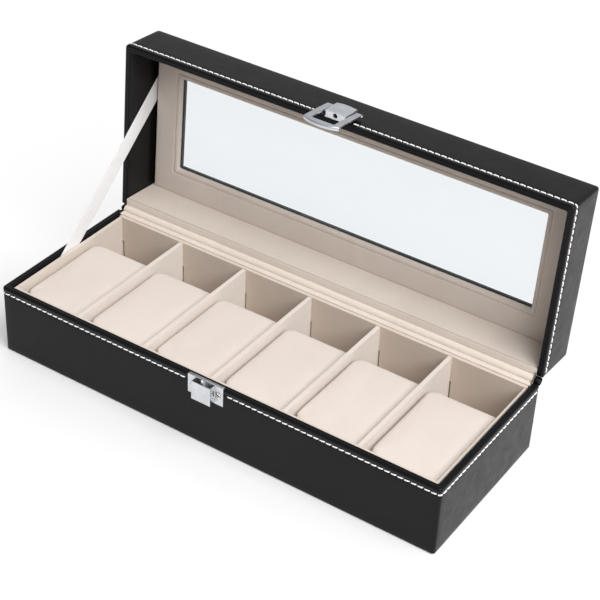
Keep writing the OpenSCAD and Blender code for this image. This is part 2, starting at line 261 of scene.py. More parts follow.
def ribbon_material():
    m = Mat("ribbon_satin")
    warp = m.waves(2100, "Z", 0.4, vector=m.stretched((1, 1, 1), (-40.5, 0, 0)))
    weft = m.waves(1500, "Y", 0.4, vector=m.stretched((1, 1, 1), (-40.5, 0, 0)))
    sheen = m.noise(60, 3, vector=m.stretched((1, 0.25, 2.0), (-40.5, 0, 0)))
    m.colour(m.ramp(sheen, (0.3, (0.70, 0.70, 0.71)), (0.7, (0.74, 0.74, 0.745))))
    m.roughness(m.span(warp, 0.34, 0.5, 0.0, 1.0))
    m.set(Sheen_Weight=0.25, Specular_IOR_Level=0.5, Subsurface_Weight=0.0)
    m.bump((warp, 0.25, 0.03), (weft, 0.15, 0.03), (sheen, 0.1, 0.3))
    return m.m


def felt_material():
    m = Mat("underside_felt")
    fibre = m.noise(1500, 5, 0.75)
    patch = m.noise(90, 3)
    m.colour(m.ramp(patch, (0.3, (0.010, 0.010, 0.011)), (0.7, (0.018, 0.018, 0.019))))
    m.roughness(m.span(fibre, 0.88, 1.0))
    m.set(Specular_IOR_Level=0.15, Sheen_Weight=0.2)
    m.bump((fibre, 0.5, 0.3))
    return m.m


def board_material():
    m = Mat("fibre_board")
    chips = m.voronoi(420)
    grain = m.noise(120, 5, 0.6, vector=m.stretched((0.35, 1, 1)))
    both = m.math("ADD", m.math("MULTIPLY", chips, 0.4), m.math("MULTIPLY", grain, 0.7))
    m.colour(m.ramp(both, (0.3, (0.30, 0.205, 0.115)), (0.75, (0.45, 0.325, 0.20))))
    m.roughness(m.span(grain, 0.75, 0.92))
    m.bump((both, 0.3, 0.2))
    return m.m


def pane_material():
    """Clear sheet: straight through, with a gloss that follows the angle."""
    m = Mat("pane_clear")
    clear = m.add("BsdfTransparent")
    clear.inputs["Color"].default_value = (0.930, 0.948, 0.958, 1.0)
    m.set(Specular_IOR_Level=0.5)
    m.b.inputs["Base Color"].default_value = (0.90, 0.93, 0.95, 1.0)
    haze = m.noise(38, 4, 0.6, vector=m.stretched((0.5, 1.0, 1.0)))
    m.roughness(m.span(haze, 0.03, 0.09))
    angle = m.add("LayerWeight")
    angle.inputs["Blend"].default_value = 0.5
    edge = m.math("MULTIPLY", m.math("POWER", angle.outputs["Facing"], 5.0), 0.9)
    film = m.math("ADD", edge, m.span(haze, 0.03, 0.05))
    mix = m.add("MixShader")
    m.link(film, mix.inputs[0])
    m.link(clear.outputs[0], mix.inputs[1])
    m.link(m.b.outputs[0], mix.inputs[2])
    m.link(mix.outputs[0], m.out.inputs["Surface"])
    return m.m


THREAD, RIBBON, FELT, BOARD, PANE = thread_material(), ribbon_material(), felt_material(), board_material(), pane_material()


# ---------------------------------------------------------------- mesh helpers
def settle(ob, body, slot, *stands_for):
    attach(ob, body)
    if stands_for:
        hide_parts(*stands_for)
    return ob


def smooth(me, sharp):
    me.shade_smooth()
    me.set_sharp_from_angle(angle=math.radians(sharp))


def from_bm(name, bm, mat, place=None, sharp=40.0):
    bmesh.ops.recalc_face_normals(bm, faces=bm.faces)
    me = bpy.data.meshes.new(name)
    bm.to_mesh(me)
    bm.free()
    if place is not None:
        me.transform(place)
    smooth(me, sharp)
    me.materials.append(mat)
    ob = bpy.data.objects.new(name, me)
    scene.collection.objects.link(ob)
    return ob


def from_lists(name, verts, faces, mat, place=None, sharp=40.0, merge=0.0):
    me = bpy.data.meshes.new("tmp")
    me.from_pydata([(x * MM, y * MM, z * MM) for x, y, z in verts], [], faces)
    bm = bmesh.new()
    bm.from_mesh(me)
    bpy.data.meshes.remove(me)
    if merge:
        bmesh.ops.remove_doubles(bm, verts=bm.verts, dist=merge * MM)
    bmesh.ops.dissolve_degenerate(bm, dist=1e-7, edges=bm.edges)
    return from_bm(name, bm, mat, place, sharp)


def loft(rings, path_closed=False):
    """Closed rings of equal length joined in order, capped at the ends of an open path."""
    n, m = len(rings[0]), len(rings)
    verts = [p for r in rings for p in r]
    faces = []
    for i in range(m if path_closed else m - 1):
        a, b = i * n, ((i + 1) % m) * n
        faces += [(a + j, a + (j + 1) % n, b + (j + 1) % n, b + j) for j in range(n)]
    if not path_closed:
        faces += [tuple(range(n - 1, -1, -1)), tuple(range((m - 1) * n, m * n))]
    return verts, faces


def steps(a, b, size):
    n = max(1, round(abs(b - a) / size))
    return [a + (b - a) * i / n for i in range(n + 1)]


def card_mesh(outline, a0, a1, bevels):
    """A padded card: a (y, z) outline drawn out along X, then its edges rounded. bevels are (test of an edge's middle and direction, in mm, radius, segments)."""
    n = len(outline)
    verts = [(a, p[0], p[1]) for a in (a0, a1) for p in outline]
    faces = [tuple(range(n - 1, -1, -1)), tuple(range(n, 2 * n))]
    faces += [(i, (i + 1) % n, n + (i + 1) % n, n + i) for i in range(n)]
    bm = bmesh.new()
    vs = [bm.verts.new((x * MM, y * MM, z * MM)) for x, y, z in verts]
    for f in faces:
        bm.faces.new([vs[i] for i in f])
    for test, radius, segments in bevels:
        chosen = []
        for e in bm.edges:
            mid = (e.verts[0].co + e.verts[1].co) / 2 / MM
            way = (e.verts[1].co - e.verts[0].co).normalized()
            if len(e.link_faces) == 2 and e.calc_face_angle(0) > 0.5 and test(mid, way):
                chosen.append(e)
        if chosen:
            bmesh.ops.bevel(bm, geom=chosen, offset=radius * MM, offset_type="OFFSET", segments=segments, profile=0.5, affect="EDGES", clamp_overlap=True)
    return bm


def card(name, outline, a0, a1, bevels, mat, place=None):
    return from_bm(name, card_mesh(outline, a0, a1, bevels), mat, place, 40.0)


def cards(name, pieces, mat):
    """Several cards as one piece."""
    bm = bmesh.new()
    for piece in pieces:
        one = card_mesh(*piece)
        me = bpy.data.meshes.new("tmp")
        one.to_mesh(me)
        one.free()
        bm.from_mesh(me)
        bpy.data.meshes.remove(me)
    return from_bm(name, bm, mat, None, 40.0)


def refined(node, name, mat, body, slot, bevel, segments=2, limit=32.0):
    """A copy of a CAD node's mesh with its hard edges rounded over."""
    bm = bmesh.new()
    bm.from_mesh(nodes[node].data)
    bmesh.ops.remove_doubles(bm, verts=bm.verts, dist=1e-7)
    bmesh.ops.dissolve_limit(bm, angle_limit=math.radians(0.5), verts=bm.verts, edges=bm.edges)
    hard = [e for e in bm.edges if len(e.link_faces) == 2 and e.calc_face_angle(0) > math.radians(limit)]
    bmesh.ops.bevel(bm, geom=hard, offset=bevel * MM, offset_type="OFFSET", segments=segments, profile=0.5, affect="EDGES", clamp_overlap=True)
    ob = from_bm(name, bm, mat, None, 35.0)
    return settle(ob, body, slot, node)


# ---------------------------------------------------------------- leather cases
HW, HD, CORNER = 150.0, 55.0, 2.0


def corner_point(sx, sy, degrees, o, z, least=1.0):
    r = max(CORNER + o, least)
    a = math.radians(degrees)
    return (sx * (HW + o - r) + r * math.cos(a), sy * (HD + o - r) + r * math.sin(a), z)


def case_rings(side, rear, notch, wobble):
    """Sections round a case: the side profile along the left, front and right, the rear profile along the back. notch(y, p) lifts or lowers a rear section's edge to clear the hinge. wobble(x, y, z) is how far the leather stands off."""
    rings = []

    def put(points):
        rings.append([(x + nx * w, y + ny * w, z) for (x, y, z), (nx, ny), w in points])

    def along(v, half, o):
        """A place along a side, drawn in as the corners are where the profile runs inwards."""
        reach = half - CORNER - max(0.0, -o - 1.0)
        end = reach + 0.35 * max(CORNER + o, 1.0)
        return max(-end, min(end, v * reach / (half - CORNER)))

    def straight(x, y, nx, ny, profile):
        put([((along(x, HW, o) if ny else x + nx * o, along(y, HD, o) if nx else y + ny * o, z), (nx, ny), wobble(x, y, z) if o > -0.6 else 0.0) for o, z in profile])

    def corner(sx, sy, degrees, profile):
        a = math.radians(degrees)
        put([(corner_point(sx, sy, degrees, o, z), (math.cos(a), math.sin(a)), 0.0) for o, z in profile])

    for x in steps(-144.0, 144.0, 9.0):
        straight(x, -HD, 0, -1, side)
    for a in (-90, -72, -54, -36, -18, 0):
        corner(1, -1, a, side)
    for y in [-49.0] + steps(-44.0, 44.0, 9.0) + [49.0, 52.9, 53.7]:
        straight(HW, y, 1, 0, side)
    for a in (30, 45, 60, 75, 90):
        corner(1, 1, a, notch(HD - CORNER + CORNER * math.sin(math.radians(a)), rear))
    for x in steps(144.0, -144.0, 9.0):
        straight(x, HD, 0, 1, rear)
    for a in (90, 105, 120, 135, 150):
        corner(-1, 1, a, notch(HD - CORNER + CORNER * math.sin(math.radians(a)), rear))
    for y in [53.7, 52.9, 49.0] + steps(44.0, -44.0, 9.0) + [-49.0]:
        straight(-HW, y, -1, 0, side)
    for a in (180, 198, 216, 234, 252, 270):
        corner(-1, -1, a, side)
    return rings


def leather_stand(x, y, z):
    return 0.05 * wave(x, y, z, 34.0) + 0.02 * wave(x, y, z, 9.0)


base_side = [
    (-0.8, 0.25), (-0.35, 0.25), (-0.1, 0.45), (0.0, 0.9), (0.0, 4.0), (0.03, 12.0), (0.05, 22.0), (0.03, 32.0),
    (0.0, 38.4), (-0.02, 41.2), (-0.24, 42.0), (-0.32, 42.4), (-0.24, 42.8), (0.02, 43.25), (0.14, 43.8), (0.15, 44.4),
    (0.06, 45.0), (-0.3, 45.55), (-0.9, 45.8), (-1.5, 45.83), (-1.95, 45.77), (-2.15, 45.62), (-2.35, 45.76), (-2.8, 45.80),
    (-3.4, 45.72), (-3.85, 45.3), (-4.0, 44.6), (-4.0, 40.0), (-4.0, 33.8), (-3.5, 33.8), (-3.5, 44.9), (-0.8, 44.9), (-0.8, 20.0)]
base_rear = base_side[:9] + [
    (0.0, 39.6), (0.0, 40.4), (0.0, 41.0), (0.0, 41.6), (0.0, 42.2), (0.0, 42.8), (-0.02, 43.15), (-0.1, 43.45),
    (-0.25, 43.68), (-0.45, 43.78), (-0.6, 43.75), (-0.7, 43.65), (-0.76, 43.5), (-0.79, 43.3), (-0.8, 43.1),
    (-0.8, 42.6), (-0.8, 42.0), (-0.8, 41.0), (-0.8, 40.0), (-0.8, 38.0), (-0.8, 36.0), (-0.8, 33.0), (-0.8, 28.0), (-0.8, 20.0)]


def room(y):
    """Half the height of the hinge's round space at that depth."""
    return math.sqrt(max(0.0, 2.65 ** 2 - (HINGE_Y - y) ** 2))


def base_notch(y, profile):
    rise = min(45.7, HINGE_Z - room(y)) - (HINGE_Z - room(55.0))
    return [(o, z + max(0.0, rise) * min(1.0, max(0.0, (z - 38.4) / 4.0))) for o, z in profile]


verts, faces = loft(case_rings(base_side, base_rear, base_notch, leather_stand), True)
settle(from_lists("base_leather_wrap", verts, faces, LEATHER, None, 50.0, 0.001), "base", "leather_black", "base_leather")

lid_side = [
    (-4.0, 74.4), (-4.0, 61.0), (-4.0, 50.0), (-4.0, 47.4), (-3.85, 46.7), (-3.4, 46.3), (-2.8, 46.2), (-2.35, 46.24),
    (-2.15, 46.38), (-1.95, 46.23), (-1.5, 46.19), (-0.9, 46.22), (-0.3, 46.45), (0.06, 47.0), (0.15, 47.7), (0.14, 48.5),
    (0.02, 49.15), (-0.24, 49.6), (-0.32, 50.0), (-0.24, 50.4), (-0.02, 51.2), (0.0, 54.0), (0.03, 61.0), (0.03, 69.0),
    (0.0, 75.6), (-0.1, 76.8), (-0.45, 77.6), (-1.2, 77.97), (-2.4, 78.0), (-8.0, 78.0), (-16.0, 78.0), (-20.9, 78.0),
    (-21.6, 77.97), (-22.3, 77.85), (-23.0, 77.5), (-23.8, 76.9), (-24.3, 76.25), (-24.4, 75.7), (-22.6, 75.7), (-22.6, 77.0), (-0.8, 77.2), (-0.8, 60.0),
    (-0.8, 47.1), (-3.5, 47.1), (-3.5, 74.4)]
lid_rear = [
    (-0.8, 59.0), (-0.8, 57.0), (-0.8, 55.0), (-0.8, 53.0), (-0.8, 51.0), (-0.8, 50.0), (-0.8, 49.4), (-0.79, 48.9),
    (-0.76, 48.6), (-0.68, 48.4), (-0.55, 48.26), (-0.4, 48.22), (-0.25, 48.28), (-0.1, 48.5), (-0.02, 48.8), (0.0, 49.3),
    (0.0, 50.0), (0.0, 50.8), (0.0, 51.6), (0.0, 52.4), (0.0, 53.2)] + lid_side[21:42] + [(-0.8, 59.9), (-0.8, 59.6), (-0.8, 59.3)]


def lid_notch(y, profile):
    drop = (HINGE_Z + room(55.0)) - max(46.3, HINGE_Z + room(y))
    return [(o, z - max(0.0, drop) * min(1.0, max(0.0, (54.0 - z) / 4.0))) for o, z in profile]


verts, faces = loft(case_rings(lid_side, lid_rear, lid_notch, leather_stand), True)
settle(from_lists("lid_leather_wrap", verts, faces, LEATHER, OPEN, 50.0, 0.001), "lid", "leather_black", "lid_leather")


# ---------------------------------------------------------------- stitching
def stitch(verts, faces, middle, along, out, length, lean, bend=None):
    """One sewn thread: thick in the middle, diving into the leather at both ends, with the turn of its two plies."""
    c, u, n = Vector(middle), Vector(along).normalized(), Vector(out).normalized()
    w = n.cross(u)
    u = (u * math.cos(lean) + w * math.sin(lean)).normalized()
    w = n.cross(u)
    first, sides, count = len(verts), 10, 11
    for i in range(count):
        t = math.sin(math.pi / 2 * (-1 + 2 * i / (count - 1)))
        h = 0.06 - 0.34 * abs(t) ** 7
        r = 0.39 * (1 - 0.35 * abs(t) ** 7)
        if bend is None:
            p, nn, ww = c + u * (t * length / 2) + n * h, n, w
        else:
            p, nn, ww = bend(t * length / 2, h)
        for j in range(sides):
            a = 2 * math.pi * j / sides
            rr = r * (1 + 0.08 * math.cos(2 * a + 4.2 * t))
            verts.append(tuple(p + nn * (rr * math.cos(a)) + ww * (rr * math.sin(a))))
    for i in range(count - 1):
        for j in range(sides):
            k = (j + 1) % sides
            faces.append((first + i * sides + j, first + i * sides + k, first + (i + 1) * sides + k, first + (i + 1) * sides + j))
    faces.append(tuple(first + j for j in range(sides - 1, -1, -1)))
    faces.append(tuple(first + (count - 1) * sides + j for j in range(sides)))


def stitched(name, z, skip, place, body, node, front_slant, side_slant):
    verts, faces = [], []
    lean, side_lean = math.radians(front_slant), math.radians(side_slant)
    n = 73
    for i in range(n):
        x = (i - (n - 1) / 2) * 4.05
        if abs(x) > skip:
            stitch(verts, faces, (x, -HD, z), (1, 0, 0), (0, -1, 0), 3.42 + 0.08 * wave(x, 0, z, 3), lean * (1 + 0.4 * wave(x, 9, z, 5)))
    n = 26
    for s in (-1, 1):
        for i in range(n):
            y = (i - (n - 1) / 2) * 4.05
            stitch(verts, faces, (s * HW, y, z), (0, s, 0), (s, 0, 0), 3.42 + 0.08 * wave(y, 5, z, 3), side_lean * (1 + 0.4 * wave(y, 3, z, 5)))
        # one stitch goes round each front corner, one lies before it on the front
        def bend(d, h, s=s):
            a = math.radians(-45 if s > 0 else 225) + s * d / CORNER * 0.86
            out = Vector((math.cos(a), math.sin(a), 0))
            return Vector((s * (HW - CORNER), -(HD - CORNER), z)) + out * (CORNER + h), out, Vector((0, 0, 1))
        stitch(verts, faces, (0, 0, 0), (1, 0, 0), (0, -1, 0), 3.4, 0.0, bend)
    ob = from_lists(name, verts, faces, THREAD, place, 60.0)
    return settle(ob, body, "thread_white", node)


stitched("base_stitching_thread", 41.8, 13.6, None, "base", "base_stitching", 5.8, -1.6)
stitched("lid_stitching_thread", 50.0, 8.8, OPEN, "lid", "lid_stitching", 0.3, 1.6)


# ---------------------------------------------------------------- tray lining
CELL_X, LINING_Y, TOP = 143.0, 48.5, 44.0
CELL_P = (2 * CELL_X - 13.0) / 6 + 2.6


def upright(mid, way):
    return abs(way.z) > 0.9


def step_outline(rear):
    return [(-LINING_Y, 3.8), (rear + 1.1, 3.8), (rear + 1.1, 27.0), (rear, 27.0), (rear, TOP), (-LINING_Y, TOP)]


def top_edge(z):
    return lambda mid, way: abs(mid.z - z) < 0.05 and abs(way.x) < 0.1


def any_edge(mid, way):
    return True


for k in range(1, 6):
    x = -CELL_X + k * CELL_P - 1.3
    outline = [(y, max(z, 5.0)) for y, z in step_outline(LINING_Y)]
    ob = card(f"divider_{k}_padded", outline, x - 1.3, x + 1.3, [(top_edge(TOP), 1.2, 6), (lambda m, w: abs(w.z) > 0.9 and m.y > 40, 0.35, 2)], DIVIDER_PAINTED_LIGHT)
    settle(ob, "base", "lining_beige", f"divider_{k}")
for side, s in (("left", -1), ("right", 1)):
    a, b = sorted((s * CELL_X + (0.7 if s > 0 else 0.0), s * 145.1))
    ob = card(f"lining_{side}_padded", step_outline(LINING_Y), a, b, [(top_edge(TOP), 0.6 if s > 0 else 0.95, 5), (lambda m, w: abs(w.z) > 0.9 and m.y > 40, 0.3, 2)], LINING)
    settle(ob, "base", "lining_beige", f"lining_{side}")
ob = card("lining_front_padded", [(-51.0, 3.8), (-48.5, 3.8), (-48.5, TOP), (-51.0, TOP)], -145.1, 145.1, [(lambda m, w: abs(m.z - TOP) < 0.05 and abs(w.x) > 0.9, 1.1, 5)], LINING)
settle(ob, "base", "lining_beige", "lining_front")
marks = [-CELL_X + k * CELL_P - 1.3 for k in range(1, 6)]
starts = [-CELL_X + 1.3] + [x + 2.2 for x in marks]
ends = [x - 1.4 for x in marks] + [CELL_X - 0.6]
pieces = [([(48.5, 27.2), (50.5, 27.2), (50.5, 44.97), (49.8, 44.5), (48.5, 44.5)], -145.1, 145.1, [(lambda m, w: abs(m.z - 44.5) < 0.05 and abs(w.x) > 0.9 and m.y < 49, 1.2, 6)])]
pieces += [([(48.5, 3.8), (50.5, 3.8), (50.5, 27.2), (48.5, 27.2)], a, b, [(lambda m, w: abs(w.z) > 0.9 and m.y < 49, 0.25, 2)]) for a, b in zip(starts, ends)]
settle(cards("lining_rear_padded", pieces, LINING_REAR_PAINTED_SHADE), "base", "lining_beige", "lining_rear")
ob = card("lining_floor_padded", [(-48.5, 3.8), (48.5, 3.8), (48.5, 5.0), (-48.5, 5.0)], -143.0, 143.0, [(lambda m, w: abs(m.z - 5.0) < 0.05, 0.5, 3)], TRAY_FLOOR_PAINTED_SHADE)
settle(ob, "base", "lining_beige", "lining_floor")
refined("underside_sheet", "underside_felt_sheet", FELT, "base", "felt_black", 0.25, 2)


# ---------------------------------------------------------------- cushions
def cushion_start(k):
    """A rounded block a little smaller than the room the cushion fills."""
    x0 = -CELL_X + (k - 1) * CELL_P
    low, high = Vector((x0 + 0.95, -48.2, 5.3)), Vector((x0 + CELL_P - 2.6 - 0.15 + (0.7 if k == 6 else 0.0), 22.9, 41.1))
    shrink = Vector((0.8, 0.8, 0.9))
    a, b = low + shrink, high - shrink
    bm = bmesh.new()
    bmesh.ops.create_cube(bm, size=1.0)
    for v in bm.verts:
        v.co = Vector(((a[i] + b[i]) / 2 + v.co[i] * (b[i] - a[i]) for i in range(3))) * MM
    posts = [e for e in bm.edges if abs(e.verts[0].co.z - e.verts[1].co.z) > 0.01]
    for side, end, radius in ((-1, -1, 9.0), (-1, 1, 6.0), (1, -1, 2.8), (1, 1, 2.8)):
        some = [e for e in posts if e.is_valid and side * (e.verts[0].co.x - (a[0] + b[0]) / 2 * MM) > 0 and end * (e.verts[0].co.y - (a[1] + b[1]) / 2 * MM) > 0]
        bmesh.ops.bevel(bm, geom=some, offset=radius * MM, offset_type="OFFSET", segments=6, profile=0.5, affect="EDGES", clamp_overlap=True)
    rims = [e for e in bm.edges if len(e.link_faces) == 2 and e.calc_face_angle(0) > 1.2]
    beside = [e for e in rims if min(v.co.x for v in e.verts) > (b[0] - 0.1) * MM]
    bmesh.ops.bevel(bm, geom=beside, offset=1.3 * MM, offset_type="OFFSET", segments=3, profile=0.5, affect="EDGES", clamp_overlap=True)
    rims = [e for e in bm.edges if len(e.link_faces) == 2 and e.calc_face_angle(0) > 1.2]
    bmesh.ops.bevel(bm, geom=rims, offset=2.6 * MM, offset_type="OFFSET", segments=4, profile=0.5, affect="EDGES", clamp_overlap=True)
    ob = from_bm(f"cushion_{k}_velvet", bm, CUSHION, None, 180.0)
    mod = ob.modifiers.new("even", "REMESH")
    mod.mode, mod.voxel_size, mod.use_smooth_shade = "VOXEL", 0.0026, True
    bpy.context.view_layer.update()
    even = bpy.data.meshes.new_from_object(ob.evaluated_get(bpy.context.evaluated_depsgraph_get()))
    ob.modifiers.clear()
    ob.data = even
    even.materials.clear()
    even.materials.append(CUSHION)
    return ob, low, high


def swell(cushions):
    """Fills the covers with pressure, then holds each inside its compartment."""
    rests = []
    for ob, low, high in cushions:
        rests.append(np.array([v.co for v in ob.data.vertices], float))
        cloth = ob.modifiers.new("fill", "CLOTH")
        s = cloth.settings
        s.quality, s.mass = 6, 0.25
        s.tension_stiffness = s.compression_stiffness = 22.0
        s.shear_stiffness, s.bending_stiffness = 10.0, 1.6
        s.use_pressure, s.uniform_pressure_force = True, 4.0
        s.effector_weights.gravity = 0.0
        cloth.collision_settings.use_collision = False
        cloth.point_cache.frame_start, cloth.point_cache.frame_end = 1, 20
    for f in range(1, 21):
        scene.frame_set(f)
    dg = bpy.context.evaluated_depsgraph_get()
    swollen = []
    for ob, low, high in cushions:
        e = ob.evaluated_get(dg)
        swollen.append(np.array([v.co for v in e.data.vertices], float))
    scene.frame_set(1)
    for (ob, low, high), rest, now in zip(cushions, rests, swollen):
        ob.modifiers.clear()
        move = now - rest
        far = np.linalg.norm(move, axis=1, keepdims=True)
        move *= np.minimum(1.0, 0.005 / np.maximum(far, 1e-9))
        shape_cushion(ob, rest + move, low, high)


def shape_cushion(ob, points, low, high):
    """Rounds a cushion off softly against the walls, the floor and the lid's height."""
    lo, hi = np.array(low) * MM, np.array(high) * MM
    mid, half = (lo + hi) / 2, (hi - lo) / 2
    u = (points - mid) / half
    soft = np.abs(u)
    soft = np.where(soft > 0.94, 0.94 + 0.06 * np.tanh((soft - 0.94) / 0.06), soft)
    points = mid + np.sign(u) * soft * half
    # the long rims stand up square to the walls beside them
    for side, reach, share in ((1, 4.0, 0.15), (-1, 3.2, 0.40)):
        dx = hi[0] - points[:, 0] if side > 0 else points[:, 0] - lo[0]
        dz = hi[2] - points[:, 2]
        f = np.minimum(1.0, share + (1 - share) * np.maximum(dx, dz) / (reach * MM))
        points[:, 0] = hi[0] - dx * f if side > 0 else lo[0] + dx * f
        points[:, 2] = hi[2] - dz * f
    # velvet never lies dead flat
    for i, p in enumerate(points):
        x, y, z = p / MM
        points[i] += np.array((0.10 * wave(x, y, z, 13.0), 0.10 * wave(y, z, x, 13.0), 0.14 * wave(x, y, 4.0, 19.0) if z > 36 else 0.0)) * MM
    ob.data.vertices.foreach_set("co", points.astype(np.float32).ravel())
    ob.data.update()


cushions = [cushion_start(k) for k in range(1, 7)]
swell(cushions)
for k, (ob, low, high) in enumerate(cushions, 1):
    finer = ob.modifiers.new("finer", "SUBSURF")
    finer.levels = finer.render_levels = 1
    smooth(ob.data, 180.0)
    settle(ob, f"cushion_{k}", "velvet_beige", f"cushion_{k}_cover", f"cushion_{k}_core")


# ---------------------------------------------------------------- hinge
def arc_points(r, a0, a1, n):
    return [(HINGE_Y + r * math.cos(math.radians(a)), HINGE_Z + r * math.sin(math.radians(a))) for a in (a0 + (a1 - a0) * i / n for i in range(n + 1))]


rings = []
for i, x in enumerate([-149.5, -149.42, -149.2] + steps(-148.7, 148.7, 6.0) + [149.2, 149.42, 149.5]):
    d = 149.5 - abs(x)
    tuck = 0.28 * max(0.0, 1 - d / 0.8) ** 2
    puff = 0.05 * wave(x, 0, 0, 11.0)
    outer = arc_points(2.55 - tuck + puff, -134, 42, 22)
    inner = arc_points(2.02 + tuck, 42, -134, 22)
    rings.append([(x, y, z) for y, z in outer + inner])
verts, faces = loft(rings)
spine = from_lists("hinge_leather_spine", verts, faces, SPINE, None, 50.0)
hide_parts("hinge_leather_strip")
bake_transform(spine)

# the cloth runs from the base's rear rim over the hinge to the lid's
def lid_point(y, z):
    p = OPEN @ Vector((0, y * MM, z * MM))
    return (p.y / MM, p.z / MM)


line = [(50.45 + (54.0 - 50.45) * i / 6, 45.32) for i in range(7)]
line += arc_points(2.3, 198, 68, 18)
line += [lid_point(54.0 - (54.0 - 49.5) * i / 6, 46.68) for i in range(7)]


def strip_section(line, thick):
    """A closed section round a line, with rounded ends."""
    left, right_side = [], []
    for i, p in enumerate(line):
        a, b = line[max(0, i - 1)], line[min(len(line) - 1, i + 1)]
        t = Vector((b[0] - a[0], b[1] - a[1])).normalized()
        n = Vector((-t.y, t.x))
        h = thick / 2 * (0.45 if i in (0, len(line) - 1) else 1.0)
        left.append((p[0] + n.x * h, p[1] + n.y * h))
        right_side.append((p[0] - n.x * h, p[1] - n.y * h))
    return left + right_side[::-1]


section = strip_section(line, 0.56)
rings = []
for x in steps(-145.95, 145.95, 5.0):
    rings.append([(x, y + 0.03 * wave(x, y, z, 6.0), z + 0.05 * wave(x, z, y, 8.0)) for y, z in section])
verts, faces = loft(rings)
hinge_cloth = from_lists("hinge_fabric_cloth", verts, faces, HINGE_CLOTH_PAINTED_LIGHT, None, 50.0)
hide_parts("hinge_fabric_strip")
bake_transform(hinge_cloth)

rings = []
for x in [-149.3, -149.2, -148.9, -148.4] + steps(-147.6, 147.6, 4.0) + [148.4, 148.9, 149.2, 149.3]:
    d = 149.3 - abs(x)
    r = 1.86 * math.sqrt(max(0.02, 1 - max(0.0, 1 - d / 1.3) ** 2)) if d < 1.3 else 1.86
    rings.append([(x, HINGE_Y + r * math.cos(a), HINGE_Z + r * math.sin(a)) for a in (2 * math.pi * j / 24 for j in range(24))])
verts, faces = loft(rings)
settle(from_lists("hinge_cord_core", verts, faces, SPINE, None, 50.0), "base", "leather_black", "hinge_cord")

# stay ribbon: from a pocket behind the tray's left lining to one behind the lid's lining
slope = math.radians(40.5)
far_z = 74.5


def ribbon_end(across):
    """How far along its run a line of the ribbon meets the lid's top frame."""
    low, high = 60.0, 140.0
    for _ in range(40):
        d = (low + high) / 2
        y = -6.5 + d * math.cos(slope) - across * math.sin(slope)
        z = 37.0 + d * math.sin(slope) + across * math.cos(slope)
        back = OPEN.inverted() @ Vector((0, y * MM, z * MM))
        low, high = (d, high) if back.z / MM < far_z else (low, d)
    return low


rings = []
runs = 56
for i in range(runs + 1):
    t = i / runs
    top_row, low_row = [], []
    for j in range(9):
        across = -5.75 + 11.5 * j / 8
        d = ribbon_end(across) * t
        belly = 0.12 * math.sin(math.pi * t) * math.cos(math.pi * (j / 8 - 0.5)) + 0.05 * wave(d, across, 0, 16.0)
        edge = 0.5 if j in (0, 8) else 1.0
        y = -6.5 + d * math.cos(slope) - across * math.sin(slope)
        z = 37.0 + d * math.sin(slope) + across * math.cos(slope)
        top_row.append((-145.55 + belly + 0.13 * edge, y, z))
        low_row.append((-145.55 + belly - 0.13 * edge, y, z))
    rings.append(top_row + low_row[::-1])
verts, faces = loft(rings)
ribbon = from_lists("stay_ribbon_satin", verts, faces, RIBBON, None, 60.0)
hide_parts("stay_ribbon")
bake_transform(ribbon)


# ---------------------------------------------------------------- lid lining and window
def frame_rings():
    """Sections round the window: up its reveal, over a soft lip, across the panel and down its outer edge."""
    inner_x, inner_y = 126.0, 31.4
    outer_low, outer_high = -50.4, 49.07
    stations = []
    for sx, sy, a0 in ((1, -1, -90), (1, 1, 0), (-1, 1, 90), (-1, -1, 180)):
        for a in (0, 30, 60, 90):
            t = math.radians(a0 + a)
            r, r_out = 0.9, 0.3
            ix, iy = sx * (inner_x - r) + r * math.cos(t), sy * (inner_y - r) + r * math.sin(t)
            edge_y = outer_high if sy > 0 else outer_low
            outer_x = 145.4 if sx > 0 else 143.5
            rims = [(sx * (outer_x - d - r_out) + r_out * math.cos(t), edge_y - sy * (d + r_out) + r_out * math.sin(t)) for d in (0.0, 0.12, 0.9, 3.5)]
            lips = [(sx * (inner_x + d - r) + r * math.cos(t), sy * (inner_y + d - r) + r * math.sin(t)) for d in (1.6, 2.6, 2.95, 3.3, 3.9, 6.0)]
            stations.append(((ix, iy), (math.cos(t), math.sin(t)), *rims, *lips))
    full = []
    for i, s in enumerate(stations):
        full.append(s)
        e = stations[(i + 1) % len(stations)]
        run = math.hypot(e[0][0] - s[0][0], e[0][1] - s[0][1])
        if run > 10:
            n = max(2, round(run / 10))
            for q in range(1, n):
                f = q / n
                full.append(tuple(tuple(u + (v - u) * f for u, v in zip(p, w)) for p, w in zip(s, e)))
    rings = []
    for (ix, iy), (nx, ny), (ox, oy), low_rim, rim, inset, *lips in full:
        def at(px, py, d, z):
            return (px + nx * d, py + ny * d, z)
        soft = 0.10 * wave(ix, iy, 0, 25.0)
        mid = 0.5
        mx, my = ix + (ox - ix) * mid, iy + (oy - iy) * mid
        rings.append([
            at(ix, iy, 0.0, 74.55), at(ix, iy, 0.0, 73.6), at(ix, iy, 0.0, 72.5), at(ix, iy, 0.05, 72.0), at(ix, iy, 0.20, 71.76), at(ix, iy, 0.40, 71.66),
            (*lips[0], 71.60), (*lips[1], 71.64), (*lips[2], 72.05), (*lips[3], 71.64), (*lips[4], 71.60),
            (*lips[5], 71.60 + soft * 0.3), (mx, my, 71.60 + soft), (*inset, 71.60 + soft * 0.3), (*rim, 71.60), (*low_rim, 71.62),
            (ox, oy, 71.74), (ox, oy, 73.2), (ox, oy, 74.55)])
    return rings


